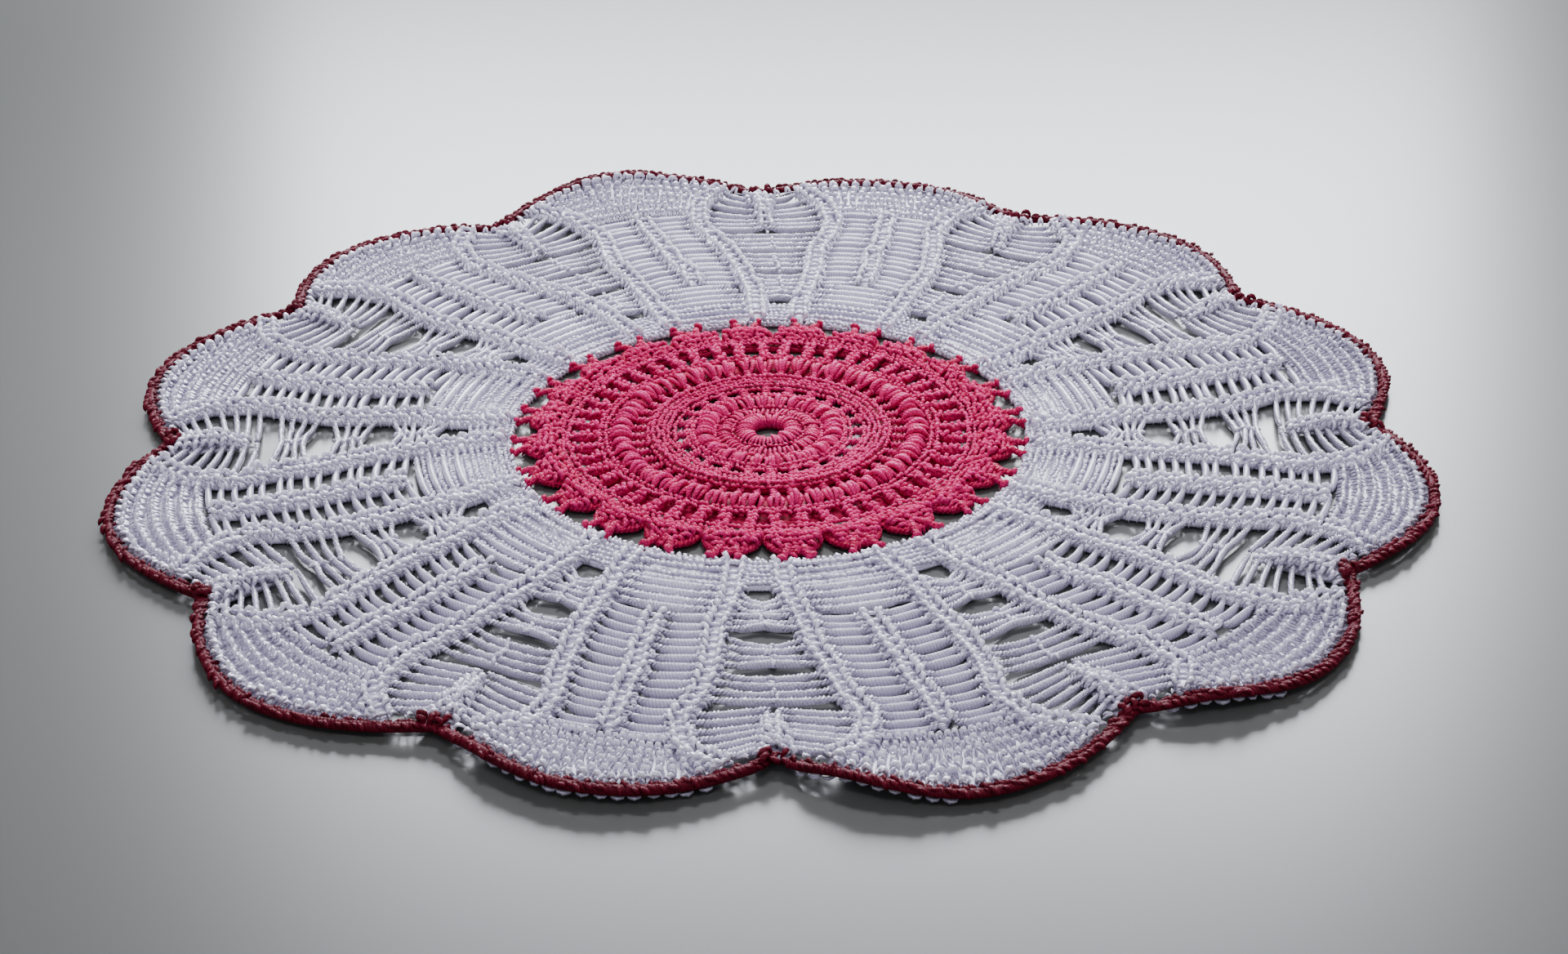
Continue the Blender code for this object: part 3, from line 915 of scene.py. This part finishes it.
# Rows across the foot of each gap, and the pearls that join the body to the medallion
BLOCK_ROWS = (63.6, 65.4, 67.2, 69.0, 70.8, 72.4)
BLOCK_HEIGHT = 1.5
INNER_PEARLS = BODY_INNER + 0.2
INNER_STEPS = 361
SHELL_TIP = (61.0, 64.5)
SHELL_PEARLS = (-0.9, 0.0, 0.9)


def row_line(petal, first, last, radius, height):
    turn = petal + np.linspace(first, last, ROW_STEPS)
    return Line(lay_real(turn, np.full(ROW_STEPS, radius), height))


def base_rows(yarn, petal):
    """Rows of beads, the high ones lighter, and the chains between them."""
    for radius, inset, height in BASE_ROWS:
        near = flank(radius, BASE_TUCK, 1) + inset
        line = row_line(petal, near, 1 - near, radius, height - BEAD_HEIGHT)
        # High rows are painted lighter and low rows darker: painted light and shade.
        tone = ROW_HEIGHT_LIGHT * (height - ROW_MIDDLE_HEIGHT)
        look = dict(sides=4, size=1.05, up=0.3, uneven=0.14, twirl=0.25, tone=tone)
        work(yarn, line, line.places(BASE_STITCH), BEAD, radius=0.56, **look)
    for radius, inset in WALL_ROWS:
        near = flank(radius, BASE_TUCK, 1) + inset
        line = row_line(petal, near, 1 - near, radius, WALL_HEIGHT)
        # The chains between the rows are painted a little darker: painted shade.
        chain(yarn, line, RUNG_CHAIN, thick=0.8, tone=-0.3)


def make_base():
    yarn = Yarn()
    for petal in range(PETALS):
        base_rows(yarn, petal)
        for radius in BLOCK_ROWS:
            near = flank(radius, BASE_TUCK, -1)
            line = row_line(petal, -near, near, radius, BLOCK_HEIGHT)
            work(yarn, line, line.places(BASE_STITCH), BEAD, radius=0.56, sides=4, twirl=0.3)
    line = Line(lay(np.linspace(0, PETALS, INNER_STEPS), INNER_PEARLS, 0.0))
    work(yarn, line, line.places(pitch=1.5), PEARL, radius=0.55, sides=4, twirl=0.4, size=0.95)
    for tip in rays(SHELLS, *SHELL_TIP):
        for across in SHELL_PEARLS:
            places = tip.places(pitch=1.3, start=0.5 + abs(across))
            look = dict(radius=0.5, sides=4, across=across, uneven=0.2, twirl=0.6)
            work(yarn, tip, places, PEARL, **look)
    return yarn.make("body_base", WHITE)


# Scalloped ends: curved rows of stitches in columns that fan outwards, teeth that hold the edging,
# and loops that show under the rim where it stands high. The stitches' heads are painted lighter, and
# their legs and those loops darker: painted highlight and shade
SCALLOP_ROWS = 6
SCALLOP_START = 132.6
SCALLOP_END = 146.0
SCALLOP_COLUMNS = 18
SCALLOP_STAGGER = 0.5
SCALLOP_TUCK = 0.8
SCALLOP_STEPS = 40
STITCH_WIDTH = 3.6
STITCH_DEPTH = 3.6
STITCH_WIDTHS = (0.6, 1.1)
STITCH_SPREAD = 0.12
# How much lighter the stitches' heads are painted, and how that varies: painted highlight
HEAD_HIGHLIGHT = 1.8
HEAD_HIGHLIGHT_SPREAD = 0.3
STITCH_LEG = bend(((0.2, -1.9, 0.9), (0.5, -0.9, 1.5), (0.8, 0.3, 1.7), (1.2, 1.7, 0.9)), 5)
STITCH_HEAD = bend(
    ((-1.2, 0.5, 1.4), (-0.7, 0.1, 2.5), (0.0, -0.1, 2.9), (0.7, 0.1, 2.5), (1.2, 0.5, 1.4)), 6
)
TOOTH_PITCH = 3.5
EDGE_TOOTH = bend(((0.9, -4.2, 0.8), (0.55, -3.2, 2.1), (0.15, -2.2, 2.8), (0.0, -1.1, 2.6)), 5)
RIM_LOOP = bend(((-1.7, -0.8, -1.1), (-0.8, 0.1, -1.45), (0.8, 0.1, -1.45), (1.7, -0.8, -1.1)), 5)
RIM_LOOP_LIFT = 1.4


def scallop_row(yarn, petal, row):
    pitch = (SCALLOP_END - SCALLOP_START) / SCALLOP_ROWS
    radius = SCALLOP_START + (row + 0.5) * pitch
    near = flank(radius, SCALLOP_TUCK, 1)
    turn = petal + np.linspace(near, 1 - near, SCALLOP_STEPS)
    line = Line(lay(turn, radius, 0.0))
    width = line.length / SCALLOP_COLUMNS
    places = line.places(width, SCALLOP_STAGGER * (row % 2 - 0.5))
    at = np.interp(places, line.marks, turn)
    depth = np.linalg.norm(lay(at, radius + pitch, 0.0) - lay(at, radius, 0.0), axis=-1)
    wide = np.clip(width / STITCH_WIDTH, *STITCH_WIDTHS)
    size = np.stack(np.broadcast_arrays(wide, depth / STITCH_DEPTH, 1.0), -1)
    thick = min(wide, 1.0)
    aside = chance.normal(0, STITCH_SPREAD, (SCALLOP_COLUMNS, 1))
    look = dict(size=size, uneven=0.1, twirl=0.1, across=aside)
    # The legs are painted a little darker and the heads lighter: painted shade and highlight.
    for side in (1, -1):
        leg = STITCH_LEG * (side, 1, 1)
        work(yarn, line, places, leg, radius=0.7 * thick, sides=3, tone=-0.4, **look)
    head_highlight = chance.normal(HEAD_HIGHLIGHT, HEAD_HIGHLIGHT_SPREAD, SCALLOP_COLUMNS)
    work(yarn, line, places, STITCH_HEAD, radius=0.8 * thick, sides=4, tone=head_highlight, **look)


def make_scallops():
    yarn = Yarn()
    for petal in range(PETALS):
        for row in range(SCALLOP_ROWS):
            scallop_row(yarn, petal, row)
    line = edging_line()
    places = line.places(TOOTH_PITCH)
    for side in (-1, 1):
        tooth = EDGE_TOOTH * (side, 1, 1)
        work(yarn, line, places, tooth, radius=0.5, up=-CORD / 2, sides=3, tone=0.4)
    raised = places[line.read(places)[:, 2] > RIM_LOOP_LIFT + CORD / 2]
    # The loops under the raised rim are painted dark: painted shade under it.
    work(yarn, line, raised, RIM_LOOP, radius=0.5, sides=4, twirl=0.2, tone=-1.5)
    return yarn.make("body_scallops", WHITE)


# Small raised fans that end the gaps: their rows, half their width and their height
FAN_START = 123.4
FAN_ROWS = (129.0, 131.4, 133.8, 136.2, 138.6, 141.0, 143.4)
FAN_WIDTHS = ((FAN_START, 0.6), (137.0, 3.6), (NOTCH_MARK, 4.6))
FAN_HEIGHTS = ((FAN_START, 0.4), (130.0, 2.0), (135.0, 2.8), (141.0, 2.2), (NOTCH_MARK, 0.5))
FAN_SLOPE = 0.7
FAN_RIB_END = NOTCH_MARK - 1.0
FAN_RIB_SINK = 0.6
FAN_RIB_STEPS = 14
FAN_ROW_STEPS = 15


def make_fans():
    yarn = Yarn()
    for gap in range(PETALS):
        for radius in FAN_ROWS:
            half = share_of(read_rows(radius, FAN_WIDTHS), radius)
            t = np.linspace(-1, 1, FAN_ROW_STEPS)
            height = read_rows(radius, FAN_HEIGHTS) * (1 - FAN_SLOPE * np.abs(t))
            line = Line(lay(gap + half * t, radius, height))
            look = dict(radius=0.64, sides=4, uneven=0.25, twirl=0.4)
            work(yarn, line, line.places(pitch=1.9), HOOK, **look)
        radius = np.linspace(FAN_START, FAN_RIB_END, FAN_RIB_STEPS)
        line = Line(lay(gap, radius, read_rows(radius, FAN_HEIGHTS) - FAN_RIB_SINK))
        rib(yarn, line, size=0.72)
    return yarn.make("body_fans", WHITE)


# Thin cloth under the body's close parts, which fills the spaces between their stitches: radii of
# its grid, height of its top, thickness, columns and shading value, which paints most of it darker
# as shade between the stitches over it
Cloth = namedtuple("Cloth", "radii top thick columns tone")
BASE_CLOTH = Cloth((62.6, 66.0, 70.0, 74.6, 79.0, 83.6), 0.6, 0.5, 12, -1.5)
BLOCK_CLOTH = Cloth((62.6, 66.0, 70.0, 73.0), 0.9, 0.6, 6, -1.0)
SCALLOP_CLOTH = Cloth(np.linspace(132.8, NOTCH_MARK + 0.5, 7), 0.8, 0.6, 20, -2.0)
FAN_CLOTH = Cloth((FAN_START + 4, 133.0, 138.0, 143.0, NOTCH_MARK + 0.5), 1.4, 0.8, 6, 0.0)
FAN_CLOTH_INSET = 0.3


def lay_cloth(yarn, petal, cloth, first, last):
    """Cloth between two shares of a sector, which change from radius to radius."""
    rows = []
    for radius, start, end in zip(cloth.radii, first, last):
        share = np.linspace(start, end, cloth.columns)
        rows.append(lay(petal + share, radius, cloth.top))
    yarn.slab(np.stack(rows), cloth.thick, cloth.tone)


def make_body_cloth():
    """Thin cloth under the close rows, the ribs' feet, the scalloped ends and the fans."""
    yarn = Yarn()
    for petal in range(PETALS):
        near = side_share(BASE_CLOTH.radii)
        lay_cloth(yarn, petal, BASE_CLOTH, near, 1 - near)
        near = side_share(BLOCK_CLOTH.radii)
        lay_cloth(yarn, petal, BLOCK_CLOTH, -near, near)
        near = side_share(SCALLOP_CLOTH.radii)
        lay_cloth(yarn, petal, SCALLOP_CLOTH, near, 1 - near)
        radii = np.array(FAN_CLOTH.radii)
        half = share_of(read_rows(radii, FAN_WIDTHS) - FAN_CLOTH_INSET, radii)
        lay_cloth(yarn, petal, FAN_CLOTH, -half, half)
    return yarn.make("body_cloth", WHITE)


# Edging: a core under two staggered columns of slanting stitches, with a few knots at each notch
EDGE_STITCH = bend(((-1.5, 0.2, 1.0), (-0.6, 0.75, 1.15), (0.4, 1.15, 0.6), (1.2, 1.1, -0.5)), 6)
EDGE_ROOT = bend(((-1.4, -0.9, -0.6), (-0.7, -1.05, 0.55), (0.3, -0.55, 1.15), (1.5, 0.3, 1.0)), 6)
EDGE_PITCH = 1.8
EDGE_LOOK = dict(radius=0.6, sides=4, uneven=0.28, twirl=0.45, up=0.3, size=(0.85, 1.0, 0.75))
NOTCH_KNOTS = (-3.0, -0.8, 1.4)
NOTCH_KNOT_RADII = np.array((NOTCH_MARK + 2.2, NOTCH_MARK - 1.0))
NOTCH_KNOT_HEIGHT = 1.2


def make_edging():
    yarn = Yarn()
    line = edging_line()
    # The core under the stitches is painted darker: painted shade.
    core(yarn, line, points=361, radius=1.2, across=0.1, up=0.3, sides=8, squash=0.85, tone=-0.6)
    for stitch, offset in ((EDGE_STITCH, 0.0), (EDGE_ROOT, 0.5)):
        work(yarn, line, line.places(EDGE_PITCH, offset), stitch, **EDGE_LOOK)
    for gap in range(PETALS):
        for offset in NOTCH_KNOTS:
            turn = gap + share_of(offset, NOTCH_MARK)
            knot = Line(lay(turn, NOTCH_KNOT_RADII, NOTCH_KNOT_HEIGHT))
            work(yarn, knot, knot.places(pitch=1.6), HOOK, radius=0.7, uneven=0.4, twirl=1.0)
    return yarn.make("corded_edging", RED)


# Rounds of small slanting stitches in the medallion, from its centre outwards. Some are painted
# lighter or darker than the rest: painted light and shade
Beads = namedtuple("Beads", "radius up pitch size tone thread", defaults=(1.3, 1.0, 0.0, 0.5))
HOLE_BEADS = Beads(8.7, 2.0, size=0.8, thread=0.36)
SPOKE_BEADS = Beads(12.9, 1.6, pitch=1.5, size=0.9)
PUFF_BEADS = (Beads(18.7, 1.4, pitch=1.25), Beads(18.3, 1.9, pitch=1.25))
BAR_BEADS = (Beads(19.9, 1.5, tone=-0.4), Beads(22.8, 1.6, tone=-0.4))
CLOSE_BEADS = (
    Beads(24.2, 2.0, size=1.1, tone=0.2),
    Beads(25.5, 2.1, size=1.1, tone=0.2),
    Beads(26.8, 2.2, size=1.1, tone=0.2),
    Beads(28.1, 2.6, size=1.1, tone=0.5),
    Beads(29.2, 1.9, pitch=1.4, tone=-0.3),
)
SLOT_BEADS = (Beads(39.4, 1.9, pitch=1.4), Beads(40.9, 1.8, pitch=1.4))
OUTER_BEADS = (Beads(48.3, 2.0, pitch=1.5, size=1.1), Beads(49.7, 1.9, pitch=1.5, size=1.1))

# Its other rounds: wrapped hole, spokes, puffs and bars
HOLE_RADIUS = 6.3
WRAP = bend(((0, -2.0, 0.2), (0.1, -2.1, 1.9), (0.1, -1.6, 2.9), (0.3, 0.6, 2.9), (0.4, 2.3, 1.7)), 8)
SPOKE_RADIUS = 10.9
SPOKE = bend(((0, -2.3, 1.6), (0.2, -1.0, 2.3), (-0.1, 0.6, 2.2), (0.1, 2.2, 1.3)), 6)
PUFF = ((0.2, -1.0, 0.28), (0.8, -0.6, 0.75), (1.1, 0.0, 1.0), (1.0, 0.5, 0.85), (0.3, 1.0, 0.3))
PUFF_ROUNDING = 0.22
INNER_PUFFS = dict(radius=15.8, count=24, spread=1.35, reach=2.7, height=3.4, strands=5, thread=0.56)
OUTER_PUFFS = dict(radius=35.7, count=48, spread=1.5, reach=2.9, height=3.7, strands=4, thread=0.66)
INNER_BARS = dict(count=24, inner=18.4, outer=24.0, shift=-6.0, lean=3.0)
OPEN_BARS = dict(count=48, inner=29.4, outer=33.8)
SLOT_BARS = dict(count=96, inner=37.9, outer=40.8, lean=0.9, alternate=True)
KNOTTED_BARS = dict(count=48, inner=40.6, outer=48.8, shift=0.7, lean=-0.91, alternate=True)
BAR_CORE = dict(points=6, sides=6, squash=0.9)
COIL_SPREAD = 0.13
COIL_SHIFT = 0.1
COIL_SQUASH = 0.9
COIL_PER_TURN = 6
KNOT = bend(((-0.5, 0.95, -0.9), (-0.25, 0.65, 0.5), (0.3, -0.1, 0.95), (0.6, -0.75, 0.3)), 6)
KNOT_ASIDE = 0.62
KNOT_STEP = 1.75
KNOT_STAGGER = 0.25
KNOTTED_CORE_UP = 0.8


def bead_rounds(yarn, *rounds):
    for beads in rounds:
        line = ring_line(beads.radius)
        look = dict(uneven=0.16, twirl=0.45, tone=beads.tone, up=beads.up, size=beads.size)
        work(yarn, line, line.places(beads.pitch), BEAD, beads.thread, **look)


def puff_round(yarn, radius, count, spread, reach, height, strands, thread):
    """A round of puffs, each of several strands side by side that draw together at both ends."""
    line = ring_line(radius)
    places = (np.arange(count) + 0.5) * line.length / count
    for strand in range(strands):
        side = 2 * strand / (strands - 1) - 1
        size = (side * spread, reach, height * (1 - PUFF_ROUNDING * side * side))
        # The middle strands are painted lighter and the outer ones darker: painted highlight and shade.
        look = dict(uneven=0.24, twirl=0.08, tone=0.7 - abs(side))
        work(yarn, line, places, bend(np.array(PUFF) * size, 8), thread, **look)


def wound_bar(yarn, line, width, up, pitch=1.15, thread=0.46):
    """A bar: a core with a thread wound round it, unevenly."""
    # The core is painted darker than the coil round it: painted shade.
    core(yarn, line, radius=width, up=up, tone=-1.0, **BAR_CORE)
    count = int(line.length / pitch * COIL_PER_TURN)
    along = np.linspace(0, line.length, count)
    phase = 2 * np.pi * along / pitch + chance.uniform(0, 2 * np.pi)
    swell = width * (1 + chance.normal(0, COIL_SPREAD, count))
    along = along + chance.normal(0, COIL_SHIFT, count)
    points = line.at(along, swell * np.cos(phase), up + swell * COIL_SQUASH * np.sin(phase))
    yarn.strands(points, thread, sides=4, tone=0.1)


def knotted_bar(yarn, line, width, up):
    """A thick bar: a core under two staggered columns of knots."""
    # The core is painted darker than the knots over it: painted shade.
    core(yarn, line, radius=width, up=up * KNOTTED_CORE_UP, tone=-1.2, **BAR_CORE)
    for side in (-1, 1):
        places = line.places(KNOT_STEP, KNOT_STAGGER * side)
        look = dict(across=side * width * KNOT_ASIDE, up=up, uneven=0.2, twirl=0.5, tone=0.3)
        work(yarn, line, places, KNOT, radius=0.62, mirror=side > 0, **look)


def make_medallion_centre():
    yarn = Yarn()
    line = ring_line(HOLE_RADIUS)
    work(yarn, line, line.places(pitch=0.82), WRAP, radius=0.42, uneven=0.05, tone=0.2)
    # A dark core inside the wrapped hole: painted shade on the hole's inner wall.
    core(yarn, line, points=49, radius=0.8, across=-1.0, up=0.9, sides=6, tone=-1.5)
    bead_rounds(yarn, HOLE_BEADS)
    line = ring_line(SPOKE_RADIUS)
    work(yarn, line, line.places(pitch=1.15), SPOKE, radius=0.42, uneven=0.1, twirl=0.1)
    bead_rounds(yarn, SPOKE_BEADS)
    puff_round(yarn, **INNER_PUFFS)
    bead_rounds(yarn, *PUFF_BEADS)
    for line in rays(**INNER_BARS):
        wound_bar(yarn, line, width=0.9, up=1.5)
    bead_rounds(yarn, *BAR_BEADS, *CLOSE_BEADS)
    return yarn.make("medallion_centre", PINK)


def make_medallion_rounds():
    yarn = Yarn()
    for line in rays(**OPEN_BARS):
        wound_bar(yarn, line, width=0.62, up=1.6)
    puff_round(yarn, **OUTER_PUFFS)
    for line in rays(**SLOT_BARS):
        wound_bar(yarn, line, width=0.34, up=1.6, pitch=1.3, thread=0.38)
    bead_rounds(yarn, *SLOT_BEADS)
    for line in rays(**KNOTTED_BARS):
        knotted_bar(yarn, line, width=1.3, up=1.7)
    bead_rounds(yarn, *OUTER_BEADS)
    return yarn.make("medallion_rounds", PINK)


# Shells at the medallion's edge: radius and width of each row of stitches, and the highest row
SHELL_ROWS = (
    (50.8, 12.9), (52.3, 12.7), (53.8, 12.1), (55.2, 10.9), (56.5, 8.8), (57.6, 6.6), (58.8, 4.6),
)
SHELL_TOP_ROW = 2
SHELL_PITCH = 1.6
SHELL_STAGGER = 0.25
SHELL_HEIGHT = 1.5
SHELL_FALL = 0.45
# The highest row is painted lightest, and each row away from it darker by so much: painted light and
# shade
SHELL_TOP_LIGHT = 0.5
SHELL_SHADE_FALL = 0.4

# Legs from a shell's tip to the body: distances across, radii and heights
SHELL_LEG = ((1.6, 2.6, 3.7), (57.4, 60.2, 62.8), (2.5, 2.1, 0.8))
# The legs and their knots are painted darker: painted shade under the shell.
LEG_ROPE = dict(pitch=2.0, swing=0.45, rise=0.36, radius=0.6, tone=-1.2)
LEG_KNOT = dict(radius=0.7, size=1.15, up=0.4, twirl=0.6, tone=-1.0)
LEG_KNOT_PLACE = 1.2

# Lower rim of a shell, from side to side: distances across and radii
SHELL_RIM = (
    (-6.2, -6.0, -4.9, -2.6, 2.6, 4.9, 6.0, 6.2), (51.6, 54.0, 56.5, 58.1, 58.1, 56.5, 54.0, 51.6)
)
SHELL_RIM_HEIGHT = 1.5
# The lower rim is painted dark: painted shade under the shell.
RIM_ROPE = dict(pitch=2.1, swing=0.5, rise=0.5, radius=0.62, sides=3, per_turn=4, tone=-1.8)


def beside(angle, across, radius, height):
    """Points at distances across from a ray."""
    return polar(angle + np.degrees(across / radius), radius, height)


def arc(angle, radius, width, height, steps):
    """Points on an arc of this width round an angle."""
    return beside(angle, np.linspace(-width / 2, width / 2, steps), radius, height)


def make_shell(yarn, angle):
    for order, (radius, width) in enumerate(SHELL_ROWS):
        line = Line(arc(angle, radius, width, 0.0, 12))
        fall = abs(order - SHELL_TOP_ROW)
        places = line.places(SHELL_PITCH, SHELL_STAGGER * (order % 2))
        look = dict(size=0.95, uneven=0.25, twirl=0.5, tone=SHELL_TOP_LIGHT - SHELL_SHADE_FALL * fall)
        work(yarn, line, places, HOOK, radius=0.6, sides=4, up=SHELL_HEIGHT - SHELL_FALL * fall, **look)
    across, radius, height = np.array(SHELL_LEG)
    for side in (-1, 1):
        line = Line(beside(angle, side * across, radius, height), fine=10)
        rope(yarn, line, **LEG_ROPE)
        work(yarn, line, (line.length - LEG_KNOT_PLACE,), KNOT, **LEG_KNOT)
    across, radius = np.array(SHELL_RIM)
    rope(yarn, Line(beside(angle, across, radius, SHELL_RIM_HEIGHT), fine=30), **RIM_ROPE)


def make_medallion_shells():
    yarn = Yarn()
    for shell in range(SHELLS):
        make_shell(yarn, place_angle(shell, SHELLS))
    return yarn.make("medallion_shells", DEEP_PINK)


# Dark cloth under the medallion's rounds, painted darker still, as shade in their gaps and under
# them: inner and outer radius and height of its top
ROUND_CLOTHS = (
    (4.5, 18.6, 1.2), (23.9, 29.2, 1.5), (29.2, 33.6, 0.5),
    (33.6, 38.2, 1.2), (38.2, 44.6, 0.5), (47.6, 52.4, 1.0),
)
ROUND_CLOTH_THICKNESS = 0.9

# Dark cloth under a shell, painted shade under it: radius and width of its rows, height of its top
# and thickness
SHELL_CLOTH_ROWS = ((52.4, 11.6), (55.8, 9.8), (58.2, 5.4))
SHELL_CLOTH_TOP = 2.0
SHELL_CLOTH_THICKNESS = 1.6


def make_medallion_cloth():
    yarn = Yarn()
    angles = turned_angles(steps=96)
    for inner, outer, height in ROUND_CLOTHS:
        rows = [polar(angles, radius, height) for radius in (inner, (inner + outer) / 2, outer)]
        # The cloth under the rounds is painted darker still: painted shade.
        yarn.slab(np.stack(rows), min(height, ROUND_CLOTH_THICKNESS), tone=-2.0)
    for shell in range(SHELLS):
        angle = place_angle(shell, SHELLS)
        rows = [arc(angle, radius, width, SHELL_CLOTH_TOP, 5) for radius, width in SHELL_CLOTH_ROWS]
        yarn.slab(np.stack(rows), SHELL_CLOTH_THICKNESS)
    return yarn.make("medallion_cloth", SHADED_PINK)


body_cloth = make_body_cloth()
body_pieces = [
    body_cloth, make_rungs(), make_bars(), *make_ribs(), make_base(), make_scallops(), make_fans()
]
medallion_cloth = make_medallion_cloth()
medallion_pieces = [
    medallion_cloth, make_medallion_centre(), make_medallion_rounds(), make_medallion_shells()
]
edging = make_edging()

for piece in body_pieces:
    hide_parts("body")
for piece in medallion_pieces:
    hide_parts("medallion")
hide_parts("edging")
